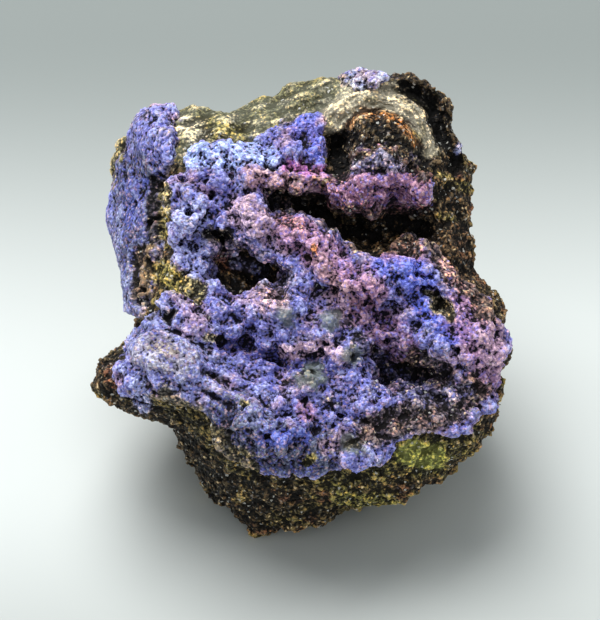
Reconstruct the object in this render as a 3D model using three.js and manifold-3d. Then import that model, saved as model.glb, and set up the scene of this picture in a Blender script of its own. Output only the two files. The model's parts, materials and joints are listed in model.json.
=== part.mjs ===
// Strengite on matrix: a broken lump of dark iron-phosphate rock, about 30 mm wide, whose display face
// and left face carry chalky crusts of strengite. All sizes are millimetres.
//
// The lump is shaped in its display frame, the way it is looked at: u runs to the right, v up and w
// towards the viewer, who looks down on the specimen at DISPLAY_ANGLE. It is then turned into the
// part's own frame, +Z up, where a flat spot under the lump rests on z = 0.
import * as THREE from "three";
import { mergeVertices } from "three/addons/utils/BufferGeometryUtils.js";
import { ImprovedNoise } from "three/addons/math/ImprovedNoise.js";
import Module from "manifold-3d";

const wasm = await Module();
wasm.setup();

// Driving dimensions
const DISPLAY_ANGLE = 40; // degrees above the horizon from which the display face is seen
const BASE_DROP = 13.4; // from the display frame's centre down to the resting plane
const GAP = 0.3; // clearance between a crust and the rock under it
const CRUST_EDGE = 0.3; // a crust's thickness at its border
const CRUST_FULL = 0.95; // and well inside its border
const CRUST_FEATHER = 2.2; // width over which a crust thickens
const CRUST_LUMPS = { share: 0.25, size: 1.7, octaves: 2, seed: 9.1 }; // and how unevenly
const OUTLINE_MARGIN = 0.1; // how far the roughness lets the rock stand past its outline
const FACE_ROUNDING = 0.7; // radius of the edge between the display side and the outline
const FRACTURE_ROUNDING = 0.45; // radius of the edges between the fracture planes
const ROUGHNESS = { height: 0.55, size: 4.2, octaves: 3, seed: 3.7 };
const DEPTH_TO_DISTANCE = 0.6; // the display side slopes, so its depth overstates the distance to it
const STROKE_REACH = 1.35; // a stroke fades out at this multiple of its half-width

// The mesh
const SPHERE_DETAIL = 16; // the rock's mesh starts as an icosphere of 20 * (detail + 1)^2 faces
const SMOOTHING_ROUNDS = 30;
const DISPLAY_DENSITY = 6; // how much more closely its points gather on the display side
const DENSE_DEPTH = 5; // the points thin out this far behind the display side
const CAST = { radius: 26, step: 0.25, halvings: 14 };
const SETTLE = { rounds: 6, within: 1e-3, probe: 0.05, leastSlope: 0.2 };
const SNAP = 0.55; // points nearer than this to a crust's border are drawn on to it
const ON_BORDER = 0.25; // and count as inside it when they end up this near
const FLOOR_BLOCK = { width: 80, height: 20 };

const TILT = THREE.MathUtils.degToRad(90 - DISPLAY_ANGLE);
const SIN = Math.sin(TILT);
const COS = Math.cos(TILT);

// The rock's outline on the display plane, clockwise from its upper left corner.
const ROCK_OUTLINE = [
  [-11.7, 14.4], [-8.6, 14.5], [-6.2, 14.1], [-3.9, 14.6], [-1.8, 15.8], [0.7, 16.2], [3.2, 16.7],
  [5.6, 17.1], [7.9, 16.7], [9.6, 15.8], [10.8, 14.1], [11.1, 12.4], [12.5, 10.4], [12.4, 5.4],
  [13.2, 3.4], [14.3, 1.1], [14.4, -1.1], [14.8, -3.0], [14.4, -5.4], [13.9, -7.9], [12.1, -10.4],
  [9.3, -12.3], [6.4, -13.6], [3.2, -14.6], [0.7, -15.7], [-2.7, -16.8], [-4.1, -15.6], [-5.0, -14.4],
  [-6.8, -13.0], [-7.5, -11.4], [-8.9, -8.2], [-10.7, -7.9], [-12.5, -7.1], [-14.7, -6.5], [-14.5, -4.4],
  [-13.6, -3.1], [-12.3, -2.5], [-12.4, -1.2], [-12.8, 1.4], [-13.2, 4.6], [-13.8, 7.6], [-13.8, 9.3],
  [-13.0, 11.4],
];

// The display side's faces: the depth towards the viewer on the front face, and on the edges where
// the other faces turn away from it, with their slopes beyond those edges.
const FRONT_FACE = { depth: 6.9, perU: -0.04, perV: -0.26 };
const TOP_FACE = { depth: 4.4, slope: -1.3 };
const LOWER_FACE = { depth: 9.4, slope: 1.65 };
const LEFT_FACE = { depth: 7.0, perV: -0.2, slope: 2.1 };
const RIGHT_FACE = { depth: 6.4, perV: -0.1, slope: -1.7 };
const EDGE_ROUNDING = { top: 1.6, side: 1.2, between: 1.4, lower: 1.2 };

// Those edges, each as [position across, position along].
const TOP_EDGE = [
  [-12, 11.6], [-8.6, 11.3], [-2.5, 11.8], [0, 13.4], [2.1, 14.4], [5, 15.4], [8, 14.2], [12, 10],
];
const LOWER_LIP = [
  [-15, -4.4], [-12, -4.8], [-7.9, -6.6], [-6.1, -9.1], [-2.1, -10.5], [2.1, -10.9], [7.1, -10.2],
  [12.1, -7.6], [15, -5.2],
];
const LEFT_RIDGE = [[-8, -13.2], [-4.5, -12.4], [-1.4, -11.3], [5.7, -9.4], [14.4, -8.6], [18, -8.4]];
const RIGHT_RIDGE = [[-8, 12.6], [-4, 13.6], [0, 12.4], [3.5, 10.6], [8, 9.6], [14, 8.6], [18, 8]];

// Fracture planes behind the display face, in the part's axes about the display frame's centre:
// the outward normal and its distance.
const FRACTURES = [
  { name: "back", normal: [0.12, 0.98, -0.06], offset: 12.4 },
  { name: "back left", normal: [-0.72, 0.68, 0.12], offset: 17.6 },
  { name: "back right", normal: [0.74, 0.66, -0.1], offset: 14.6 },
  { name: "back top", normal: [0.1, 0.62, 0.78], offset: 18.6 },
  { name: "back upper left", normal: [-0.29, 0.91, 0.29], offset: 15.5 },
  { name: "back lower left", normal: [-0.53, 0.73, -0.44], offset: 16.4 },
  { name: "back lower right", normal: [0.3, 0.8, -0.52], offset: 14.3 },
  { name: "right", normal: [0.95, 0.3, 0.1], offset: 13.9 },
  { name: "lower right chip", normal: [0.86, 0.1, -0.5], offset: 14.6 },
  { name: "under left", normal: [-0.68, -0.05, -0.73], offset: 13.5 },
  { name: "under right", normal: [0.62, 0.08, -0.78], offset: 14.0 },
  { name: "under back", normal: [-0.1, 0.62, -0.78], offset: 14.3 },
  { name: "base stock", normal: [0, 0, -1], offset: BASE_DROP + 0.5 },
];

// Raised and sunken strokes on the display face: a path of [u, v] points, a half-width and a rise.
const STROKES = [
  { name: "brown knob", path: [[4.6, 11.4], [6.2, 12.2]], width: 3.4, rise: 1.7 },
  { name: "shell round the knob", path: [[2.2, 14.2], [5.2, 15.6], [8.2, 13.6]], width: 1.3, rise: 0.7 },
  { name: "crevice under the hood", path: [[6.6, 15.9], [8.4, 14.9], [9.2, 12.4]], width: 1.1, rise: -3.0 },
  { name: "hood", path: [[6.6, 17.2], [9.6, 15.6], [10.8, 12.8]], width: 1.6, rise: 3.0 },
  { name: "pit left of the knob", path: [[2.7, 12.0], [3.0, 9.6]], width: 1.3, rise: -1.7 },
  { name: "upper pink ledge", path: [[-2.8, 9.6], [2.0, 9.4]], width: 1.5, rise: 1.1 },
  { name: "right pink ledge", path: [[3.2, 8.9], [8.2, 8.7]], width: 1.8, rise: 1.5 },
  { name: "hollow under the upper ledge", path: [[-1.2, 7.4], [1.6, 7.2]], width: 1.6, rise: -2.6 },
  { name: "black hollow", path: [[3.0, 5.9], [8.4, 6.3]], width: 1.7, rise: -3.7 },
  { name: "hollow behind the ball", path: [[-6.0, 5.6], [-5.2, 5.0]], width: 1.2, rise: -2.0 },
  { name: "ball at the left rim", path: [[-7.9, 6.3]], width: 1.6, rise: 1.0 },
  { name: "brown hollow", path: [[-5.2, 2.8], [-2.4, 2.2]], width: 2.1, rise: -2.4 },
  { name: "pale mass", path: [[-3.6, 6.2], [-1.6, 5.4], [0.6, 4.2]], width: 1.9, rise: 1.1 },
  { name: "pink ridge", path: [[1.2, 4.0], [2.6, 2.4], [4.6, 1.4]], width: 1.6, rise: 0.9 },
  { name: "blue shoulder", path: [[5.0, 2.6], [8.2, 2.4], [10.6, -0.8]], width: 2.2, rise: 1.2 },
  { name: "bare olive nook", path: [[9.2, 1.0], [10.4, -0.2]], width: 0.9, rise: -1.0 },
  { name: "middle mound", path: [[-1.4, -0.2], [0.8, -0.8]], width: 1.9, rise: 1.1 },
  { name: "valley below the mound", path: [[-4.0, -2.2], [-1.6, -3.6], [1.4, -3.4]], width: 1.2, rise: -1.7 },
  { name: "glassy mound", path: [[0.6, -4.9]], width: 1.7, rise: 1.2 },
  { name: "second glassy mound", path: [[3.6, -3.0]], width: 1.3, rise: 0.9 },
  { name: "gully right of the mounds", path: [[5.2, -1.0], [5.0, -2.9]], width: 1.1, rise: -1.5 },
  { name: "lower right cavity", path: [[6.2, -4.7], [8.6, -4.6]], width: 2.0, rise: -3.6 },
  { name: "roof of the cavity", path: [[6.4, -2.0], [10.6, -2.6]], width: 1.5, rise: 0.8 },
  { name: "right pink mass", path: [[12.4, -1.2], [13.2, -3.6]], width: 2.0, rise: 1.1 },
  { name: "sill of the cavity", path: [[6.8, -7.4], [10.6, -7.0]], width: 1.3, rise: 0.7 },
  { name: "pit among the lower mounds", path: [[2.2, -6.4], [3.0, -7.8]], width: 1.1, rise: -1.3 },
  { name: "lower violet mound", path: [[3.6, -9.2]], width: 1.4, rise: 0.9 },
  { name: "lower blue mound", path: [[-4.0, -7.2], [-1.4, -8.9]], width: 2.6, rise: 1.1 },
  { name: "cleft beside the blue mound", path: [[-5.2, -6.6], [-3.4, -6.2]], width: 0.8, rise: -0.9 },
  { name: "left bulge", path: [[-10.2, -1.2], [-8.6, -3.8]], width: 3.2, rise: 1.3 },
  { name: "furrow in the bulge", path: [[-10.8, -1.6], [-8.4, -1.9], [-6.2, -3.0]], width: 0.8, rise: -0.9 },
  { name: "step under the bulge", path: [[-6.4, -4.2], [-4.6, -4.9]], width: 0.8, rise: -0.9 },
  { name: "crack in the left face", path: [[-10.6, 9.0], [-10.2, 5.4]], width: 0.8, rise: -1.3 },
  { name: "notch behind the prong", path: [[-12.2, -3.2], [-11.8, -5.6]], width: 0.8, rise: -1.5 },
];

// Strengite crusts: outlines on the display plane and the bare windows that the rock shows through.
const FRONT_CRUST = {
  name: "strengite_front_crust",
  outline: [
    [-8.7, 11.3], [-6.0, 11.9], [-2.6, 12.0], [-0.6, 13.6], [1.6, 14.0], [2.4, 12.4], [2.4, 9.8],
    [3.0, 8.0], [2.0, 6.6], [1.2, 5.2], [2.4, 4.6], [3.6, 3.6], [6.0, 3.5], [8.6, 5.0], [10.4, 3.6],
    [12.0, 1.2], [13.5, -0.8], [14.1, -3.6], [13.2, -6.4], [10.8, -8.2], [7.6, -9.2], [5.2, -10.8],
    [1.0, -11.2], [-2.6, -10.8], [-5.4, -9.6], [-6.2, -7.6], [-8.0, -6.4], [-10.4, -6.0], [-12.2, -4.6],
    [-12.3, -2.2], [-11.0, 0.4], [-9.4, 1.0], [-7.4, 2.0], [-9.2, 3.8], [-9.5, 7.4],
  ],
  windows: [
    { at: [-3.8, 2.4], size: [2.6, 1.7] },
    { at: [7.6, -4.9], size: [2.0, 1.3] },
    { at: [0.4, 7.2], size: [1.9, 1.1] },
  ],
};
const LEDGE_CRUST = {
  name: "strengite_ledge_crust",
  outline: [
    [2.6, 9.2], [3.6, 10.2], [5.2, 11.2], [7.6, 10.8], [9.4, 9.2], [9.0, 7.2], [6.4, 6.6], [2.9, 7.0],
  ],
  windows: [],
};
const LEFT_CRUST = {
  name: "strengite_left_crust",
  outline: [
    [-11.3, 14.3], [-8.8, 14.3], [-9.0, 11.6], [-9.9, 8.8], [-10.2, 4.6], [-11.6, 3.2], [-12.4, -0.6],
    [-13.6, 0.6], [-14.2, 8.0], [-13.2, 11.0],
  ],
  windows: [],
};
const TOP_PATCH = {
  name: "strengite_top_patch",
  outline: [[2.8, 17.4], [5.8, 17.8], [6.6, 16.6], [4.8, 15.6], [2.4, 16.0]],
  windows: [],
};

const mix = (a, b, t) => a + (b - a) * t;
const clamp01 = (t) => Math.min(1, Math.max(0, t));
const smooth = (t) => clamp01(t) ** 2 * (3 - 2 * clamp01(t));

// Blends two fields where they meet: the smaller of the two, or the larger, with a rounded corner.
function softMin(a, b, radius) {
  const h = clamp01(0.5 + (0.5 * (b - a)) / radius);
  return mix(b, a, h) - radius * h * (1 - h);
}
const softMax = (a, b, radius) => -softMin(-a, -b, radius);

// Fractal gradient noise of the given grain size, about -1 to 1.
const perlin = new ImprovedNoise();
function grain(p, { size, octaves, seed }) {
  let sum = 0;
  let weight = 1;
  let total = 0;
  for (let i = 0; i < octaves; i++) {
    const scale = 2 ** i / size;
    sum += weight * perlin.noise(p.x * scale + seed, p.y * scale - seed, p.z * scale + 2 * seed);
    total += weight;
    weight *= 0.5;
  }
  return (1.6 * sum) / total;
}

// The second number of a bent line at a place given by its first.
function along(line, at) {
  if (at <= line[0][0]) return line[0][1];
  for (let i = 1; i < line.length; i++) {
    const [a, b] = [line[i - 1], line[i]];
    if (at <= b[0]) return mix(a[1], b[1], (at - a[0]) / (b[0] - a[0]));
  }
  return line[line.length - 1][1];
}

function segmentDistance(u, v, a, b) {
  const [du, dv] = [b[0] - a[0], b[1] - a[1]];
  const length = du * du + dv * dv;
  const t = length ? clamp01(((u - a[0]) * du + (v - a[1]) * dv) / length) : 0;
  return Math.hypot(u - a[0] - t * du, v - a[1] - t * dv);
}

function pathDistance(u, v, path) {
  let least = segmentDistance(u, v, path[0], path[0]);
  for (let i = 1; i < path.length; i++)
    least = Math.min(least, segmentDistance(u, v, path[i - 1], path[i]));
  return least;
}

// Signed distance to a closed outline on the display plane, negative inside.
function outlineDistance(u, v, outline) {
  let least = Infinity;
  let inside = false;
  outline.forEach((b, i) => {
    const a = outline[(i + outline.length - 1) % outline.length];
    least = Math.min(least, segmentDistance(u, v, a, b));
    if (a[1] > v !== b[1] > v && u < a[0] + ((v - a[1]) * (b[0] - a[0])) / (b[1] - a[1])) inside = !inside;
  });
  return inside ? -least : least;
}

// How far towards the viewer the display side of the rock stands at a point of the display plane.
function displayDepth(u, v) {
  const front = FRONT_FACE.depth + FRONT_FACE.perU * u + FRONT_FACE.perV * v;
  const top = TOP_FACE.depth + TOP_FACE.slope * (v - along(TOP_EDGE, u));
  const lower = LOWER_FACE.depth + LOWER_FACE.slope * (v - along(LOWER_LIP, u));
  const left = LEFT_FACE.depth + LEFT_FACE.perV * v + LEFT_FACE.slope * (u - along(LEFT_RIDGE, v));
  const right = RIGHT_FACE.depth + RIGHT_FACE.perV * v + RIGHT_FACE.slope * (u - along(RIGHT_RIDGE, v));
  const middle = softMin(front, top, EDGE_ROUNDING.top);
  const sides = softMin(left, right, EDGE_ROUNDING.side);
  let depth = softMin(softMin(middle, sides, EDGE_ROUNDING.between), lower, EDGE_ROUNDING.lower);
  for (const { path, width, rise } of STROKES) {
    const q = pathDistance(u, v, path) / (STROKE_REACH * width);
    if (q < 1) depth += rise * (1 - q * q) ** 2;
  }
  return depth;
}

// The rock as a field over the display frame: negative inside, zero on its surface.
function rockField(p) {
  const y = p.y * COS - p.z * SIN;
  const z = p.y * SIN + p.z * COS;
  let field = outlineDistance(p.x, p.y, ROCK_OUTLINE) - OUTLINE_MARGIN;
  field = softMax(field, DEPTH_TO_DISTANCE * (p.z - displayDepth(p.x, p.y)), FACE_ROUNDING);
  for (const { normal, offset } of FRACTURES)
    field = softMax(field, normal[0] * p.x + normal[1] * y + normal[2] * z - offset, FRACTURE_ROUNDING);
  return field + ROUGHNESS.height * grain(p, ROUGHNESS);
}

// Moves a point along the field's slope until it lies on the surface.
function settle(p, field) {
  const { rounds, within, probe, leastSlope } = SETTLE;
  for (let i = 0; i < rounds; i++) {
    const value = field(p);
    if (Math.abs(value) < within) return;
    const slope = new THREE.Vector3(
      field({ x: p.x + probe, y: p.y, z: p.z }) - value,
      field({ x: p.x, y: p.y + probe, z: p.z }) - value,
      field({ x: p.x, y: p.y, z: p.z + probe }) - value,
    ).divideScalar(probe);
    p.addScaledVector(slope, -value / Math.max(leastSlope, slope.lengthSq()));
  }
}

// How closely the mesh's points gather: several times denser on the display side than behind it.
const density = (p) => 1 + DISPLAY_DENSITY * smooth((p.z - displayDepth(p.x, p.y)) / DENSE_DEPTH + 1);

// A closed mesh drawn on to the field's surface: an icosphere cast outwards from the centre, then
// evened out by sliding its points along the surface.
function wrap(field, detail, rounds) {
  const sphere = new THREE.IcosahedronGeometry(1, detail);
  sphere.deleteAttribute("normal");
  sphere.deleteAttribute("uv");
  const merged = mergeVertices(sphere, 1e-5);
  const faces = [...merged.index.array];
  const start = merged.getAttribute("position");
  const points = [];
  for (let i = 0; i < start.count; i++) {
    const ray = new THREE.Vector3().fromBufferAttribute(start, i).normalize();
    let outer = CAST.radius;
    while (field(ray.clone().multiplyScalar(outer - CAST.step)) > 0) outer -= CAST.step;
    let inner = outer - CAST.step;
    for (let n = 0; n < CAST.halvings; n++) {
      const middle = (inner + outer) / 2;
      if (field(ray.clone().multiplyScalar(middle)) > 0) outer = middle;
      else inner = middle;
    }
    points.push(ray.multiplyScalar((inner + outer) / 2));
  }
  const neighbours = points.map(() => new Set());
  for (let i = 0; i < faces.length; i += 3)
    for (let k = 0; k < 3; k++) neighbours[faces[i + k]].add(faces[i + ((k + 1) % 3)]);
  for (let round = 0; round < rounds; round++) {
    const weights = points.map(density);
    const centres = points.map((p, i) => {
      const centre = new THREE.Vector3();
      let weight = 0;
      for (const n of neighbours[i]) {
        centre.addScaledVector(points[n], weights[n]);
        weight += weights[n];
      }
      return centre.divideScalar(weight);
    });
    points.forEach((p, i) => {
      p.lerp(centres[i], 0.5);
      settle(p, field);
    });
  }
  return { points, faces };
}

// Area-weighted normals of a mesh's points.
function pointNormals({ points, faces }) {
  const normals = points.map(() => new THREE.Vector3());
  for (let i = 0; i < faces.length; i += 3) {
    const [a, b, c] = faces.slice(i, i + 3).map((n) => points[n]);
    const cross = b.clone().sub(a).cross(c.clone().sub(a));
    for (let k = 0; k < 3; k++) normals[faces[i + k]].add(cross);
  }
  return normals.map((n) => n.normalize());
}

// Signed distance to a crust's border on the display plane, negative where the crust lies.
function crustDistance(u, v, { outline, windows }) {
  const toWindows = windows.map(
    ({ at, size }) => (1 - Math.hypot((u - at[0]) / size[0], (v - at[1]) / size[1])) * Math.min(...size),
  );
  return Math.max(outlineDistance(u, v, outline), ...toWindows);
}

// Draws the rock's nearby points on to a crust's border, so that the border runs clean.
function snapTo(crust, rock, normals) {
  const { probe, leastSlope } = SETTLE;
  rock.points.forEach((p, i) => {
    const distance = crustDistance(p.x, p.y, crust);
    if (normals[i].z < 0 || Math.abs(distance) > SNAP) return;
    const du = (crustDistance(p.x + probe, p.y, crust) - distance) / probe;
    const dv = (crustDistance(p.x, p.y + probe, crust) - distance) / probe;
    const step = distance / Math.max(leastSlope, du * du + dv * dv);
    p.x -= step * du;
    p.y -= step * dv;
    settle(p, rockField);
  });
}

// The rock's faces under a crust: facing the viewer and inside the crust's border.
// Faces that would touch the rest at a single point are dropped, and so is all but the largest patch.
function facesUnder(rock, normals, crust) {
  const covered = rock.points.map((p, i) => normals[i].z > 0 && crustDistance(p.x, p.y, crust) < ON_BORDER);
  const chosen = [];
  for (let i = 0; i < rock.faces.length; i += 3) {
    const face = rock.faces.slice(i, i + 3);
    if (face.every((n) => covered[n])) chosen.push(face);
  }
  return largestPatch(withoutPinches(chosen));
}

function patchesOf(faces) {
  const owner = new Map();
  const group = faces.map((_, i) => i);
  const root = (i) => (group[i] === i ? i : (group[i] = root(group[i])));
  faces.forEach((face, i) => {
    for (let k = 0; k < 3; k++) {
      const edge = [face[k], face[(k + 1) % 3]].sort((a, b) => a - b).join();
      if (owner.has(edge)) group[root(i)] = root(owner.get(edge));
      owner.set(edge, i);
    }
  });
  const patches = new Map();
  faces.forEach((face, i) => patches.set(root(i), [...(patches.get(root(i)) ?? []), face]));
  return [...patches.values()];
}

const largestPatch = (faces) => patchesOf(faces).sort((a, b) => b.length - a.length)[0];

function withoutPinches(faces) {
  for (;;) {
    const around = new Map();
    for (const face of faces) for (const n of face) around.set(n, [...(around.get(n) ?? []), face]);
    const doomed = new Set();
    for (const fan of around.values()) {
      const patches = patchesOf(fan).sort((a, b) => b.length - a.length);
      for (const patch of patches.slice(1)) for (const face of patch) doomed.add(face);
    }
    if (!doomed.size) return faces;
    faces = faces.filter((face) => !doomed.has(face));
  }
}

// A crust: the rock's surface under it, lifted by the gap, with its outer side raised above that.
function crustSolid(rock, normals, crust) {
  const faces = facesUnder(rock, normals, crust);
  const index = new Map();
  for (const n of faces.flat()) if (!index.has(n)) index.set(n, index.size);
  const count = index.size;
  const rim = new Set();
  const edges = new Map();
  for (const face of faces)
    for (let k = 0; k < 3; k++) edges.set([face[k], face[(k + 1) % 3]].join(), [face[k], face[(k + 1) % 3]]);
  const border = [...edges.values()].filter(([a, b]) => !edges.has([b, a].join()));
  for (const [a, b] of border) rim.add(a).add(b);
  const points = [];
  for (const n of index.keys()) points.push(rock.points[n].clone().addScaledVector(normals[n], GAP));
  for (const n of index.keys()) {
    const p = rock.points[n];
    const toRim = Math.min(...[...rim].map((r) => rock.points[r].distanceTo(p)));
    const full = CRUST_FULL * (1 + CRUST_LUMPS.share * grain(p, CRUST_LUMPS));
    const thickness = mix(CRUST_EDGE, full, smooth(toRim / CRUST_FEATHER));
    points.push(p.clone().addScaledVector(normals[n], GAP + thickness));
  }
  const shell = [];
  for (const [a, b, c] of faces.map((face) => face.map((n) => index.get(n)))) {
    shell.push(a + count, b + count, c + count);
    shell.push(a, c, b);
  }
  for (const [a, b] of border.map((edge) => edge.map((n) => index.get(n)))) {
    shell.push(a, b, b + count);
    shell.push(a, b + count, a + count);
  }
  return { points, faces: shell };
}

// From the display frame to the part's frame.
function toPartFrame({ points, faces }) {
  const turn = new THREE.Matrix4().makeRotationX(TILT);
  const lift = new THREE.Vector3(0, 0, BASE_DROP);
  return { points: points.map((p) => p.clone().applyMatrix4(turn).add(lift)), faces };
}

function solidFrom({ points, faces }) {
  const vertProperties = new Float32Array(points.flatMap((p) => [p.x, p.y, p.z]));
  const triVerts = new Uint32Array(faces);
  return new wasm.Manifold(new wasm.Mesh({ numProp: 3, vertProperties, triVerts }));
}

// A box below the resting plane, to cut the rock's flat spot with.
function floorBlock() {
  const { width, height } = FLOOR_BLOCK;
  const box = new THREE.BoxGeometry(width, width, height).translate(0, 0, -height / 2);
  box.deleteAttribute("normal");
  box.deleteAttribute("uv");
  const merged = mergeVertices(box);
  const corners = merged.getAttribute("position");
  const points = [];
  for (let i = 0; i < corners.count; i++) points.push(new THREE.Vector3().fromBufferAttribute(corners, i));
  return solidFrom({ points, faces: [...merged.index.array] });
}

function meshOf(name, solid, material) {
  const { vertProperties, triVerts, numProp } = solid.getMesh();
  const positions = new Float32Array((vertProperties.length / numProp) * 3);
  for (let i = 0; i < positions.length / 3; i++)
    positions.set(vertProperties.subarray(i * numProp, i * numProp + 3), i * 3);
  const geometry = new THREE.BufferGeometry();
  geometry.setAttribute("position", new THREE.BufferAttribute(positions, 3));
  geometry.setIndex(new THREE.BufferAttribute(triVerts, 1));
  geometry.computeVertexNormals();
  const mesh = new THREE.Mesh(geometry, material);
  mesh.name = name;
  return mesh;
}

const rockMaterial = new THREE.MeshStandardMaterial({ color: 0x4a3d2c, roughness: 0.85, metalness: 0 });
const violetMaterial = new THREE.MeshStandardMaterial({ color: 0x7d80c9, roughness: 0.9, metalness: 0 });
const pinkMaterial = new THREE.MeshStandardMaterial({ color: 0x9c6488, roughness: 0.9, metalness: 0 });

const crusts = [FRONT_CRUST, LEDGE_CRUST, LEFT_CRUST, TOP_PATCH];
const rock = wrap(rockField, SPHERE_DETAIL, SMOOTHING_ROUNDS);
for (const crust of crusts) snapTo(crust, rock, pointNormals(rock));
const rockNormals = pointNormals(rock);

const specimen = new THREE.Group();
specimen.add(meshOf("matrix", solidFrom(toPartFrame(rock)).subtract(floorBlock()), rockMaterial));
for (const crust of crusts) {
  const solid = solidFrom(toPartFrame(crustSolid(rock, rockNormals, crust)));
  specimen.add(meshOf(crust.name, solid, crust === LEDGE_CRUST ? pinkMaterial : violetMaterial));
}

export default specimen;
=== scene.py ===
"""Strengite on matrix: a broken lump of dark phosphate rock with chalky violet and pink crusts.

Each solid of the frame is copied, shaped by the listed strokes, remeshed finely and roughened into
the piece that stands for it.
to the right, v up and w towards the viewer. Places on it are (u, v) in millimetres from the middle of
the display side.
"""

import json
import math

import bpy
import numpy as np
from bpy.props import FloatProperty, FloatVectorProperty, PointerProperty
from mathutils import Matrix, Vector, noise
from mathutils.bvhtree import BVHTree

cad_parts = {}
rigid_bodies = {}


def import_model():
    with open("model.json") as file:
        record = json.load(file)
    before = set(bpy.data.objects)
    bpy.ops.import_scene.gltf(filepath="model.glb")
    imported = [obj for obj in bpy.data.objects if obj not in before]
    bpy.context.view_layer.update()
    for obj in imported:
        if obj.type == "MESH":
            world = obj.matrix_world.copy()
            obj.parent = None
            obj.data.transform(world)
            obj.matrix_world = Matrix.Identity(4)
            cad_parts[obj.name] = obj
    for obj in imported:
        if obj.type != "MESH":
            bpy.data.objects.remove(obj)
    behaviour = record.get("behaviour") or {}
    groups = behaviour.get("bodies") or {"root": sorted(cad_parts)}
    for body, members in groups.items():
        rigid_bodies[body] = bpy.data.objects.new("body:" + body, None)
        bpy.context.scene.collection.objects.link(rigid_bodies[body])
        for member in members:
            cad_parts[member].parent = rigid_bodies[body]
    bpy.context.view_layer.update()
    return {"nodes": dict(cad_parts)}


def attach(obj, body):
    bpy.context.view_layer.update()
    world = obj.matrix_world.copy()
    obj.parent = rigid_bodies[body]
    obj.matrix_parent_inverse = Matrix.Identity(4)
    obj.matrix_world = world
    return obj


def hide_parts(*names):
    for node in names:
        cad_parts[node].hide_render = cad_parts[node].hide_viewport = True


bl_info = {
    "name": "Strengite on matrix",
    "version": (1, 0, 0),
    "blender": (4, 5, 0),
    "location": "View3D > Sidebar > Specimen",
    "description": "Finishes a strengite specimen: its rock, its crusts and the stage it stands on",
    "category": "Add Mesh",
}

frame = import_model()

MM = 0.001

# The display frame: its angle above the horizon and its middle over the resting plane
DISPLAY_ANGLE = math.radians(40)
DISPLAY_MIDDLE = Vector((0, 0, 13.4 * MM))
ACROSS = np.array((1.0, 0.0, 0.0))
UPWARD = np.array((0.0, math.sin(DISPLAY_ANGLE), math.cos(DISPLAY_ANGLE)))
TOWARDS = np.array((0.0, -math.cos(DISPLAY_ANGLE), math.sin(DISPLAY_ANGLE)))

# The photograph's frame on the display plane
IMAGE_SIZE = (600, 620)
PIXELS_PER_MM = 14

CRUST_NODES = (
    "strengite_front_crust", "strengite_ledge_crust", "strengite_left_crust", "strengite_top_patch",
)

# Crust colours, linear
VIOLET = (0.20, 0.205, 0.56)
PALE_VIOLET = (0.40, 0.43, 0.78)
PALE_BLUE = (0.42, 0.52, 0.94)
VIVID_BLUE = (0.11, 0.16, 0.80)
DEEP_BLUE = (0.05, 0.05, 0.25)
PINK = (0.44, 0.22, 0.36)
PALE_PINK = (0.60, 0.40, 0.52)
SALMON = (0.50, 0.29, 0.33)
DUSKY_PINK = (0.24, 0.10, 0.18)
MAGENTA = (0.46, 0.13, 0.42)
LILAC_GREY = (0.27, 0.26, 0.42)
BEIGE = (0.46, 0.41, 0.40)
ICE = (0.42, 0.46, 0.66)
SLATE = (0.11, 0.12, 0.24)
DARK_SLATE = (0.065, 0.075, 0.14)

# Rock colours, linear
BROWN = (0.066, 0.045, 0.026)
DARK_BROWN = (0.017, 0.012, 0.008)
RED_BROWN = (0.13, 0.05, 0.035)
BLACK = (0.006, 0.005, 0.006)
OLIVE = (0.16, 0.145, 0.045)
DARK_OLIVE = (0.072, 0.062, 0.024)
OLIVE_GREY = (0.165, 0.17, 0.105)
SHELL_GREY = (0.50, 0.46, 0.35)
ORANGE = (0.26, 0.11, 0.03)
OCHRE = (0.42, 0.32, 0.13)
YELLOW_GREEN = (0.30, 0.32, 0.08)
GLASS_GREEN = (0.16, 0.19, 0.17)
CREAM = (0.55, 0.52, 0.42)

# Colours of single grains, of the painted shade in the gaps between them and of a painted glint, linear
BLUE_GRAIN = (0.11, 0.13, 0.62)
DARK_GRAIN = (0.05, 0.04, 0.035)
TAN_GRAIN = (0.42, 0.35, 0.24)
STEEL_GRAIN = (0.11, 0.12, 0.15)
CRUST_SHADE = (0.007, 0.005, 0.012)
GLINT = (0.75, 0.74, 0.68)

# The material's grains, in mm
GRAIN_SIZE = 0.18
GRAIN_WARP = 0.25
SPECKLE_SIZE = 0.22
GLINT_SIZE = 0.15
GLINT_WARP = 0.10
BUMP_HEIGHT = 0.12


def patch(name, colour, path, width, strength=1.0, chalk=1.0, glass=0.0):
    """A stretch of the surface with a colour of its own, along a path of places, with a half-width
    in mm. Its chalk says whether it is crust, and its glass how glassy it is."""
    return {
        "name": name, "colour": colour, "path": path, "width": width, "strength": strength,
        "chalk": chalk, "glass": glass,
    }


def bare(name, colour, path, width, strength=1.0):
    """A patch of bare rock."""
    return patch(name, colour, path, width, strength, chalk=0.0)


def glassy(name, path, width, strength=0.9):
    """A patch of grey-green glassy crust."""
    return patch(name, GLASS_GREEN, path, width, strength, chalk=0.6, glass=1.0)


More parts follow.
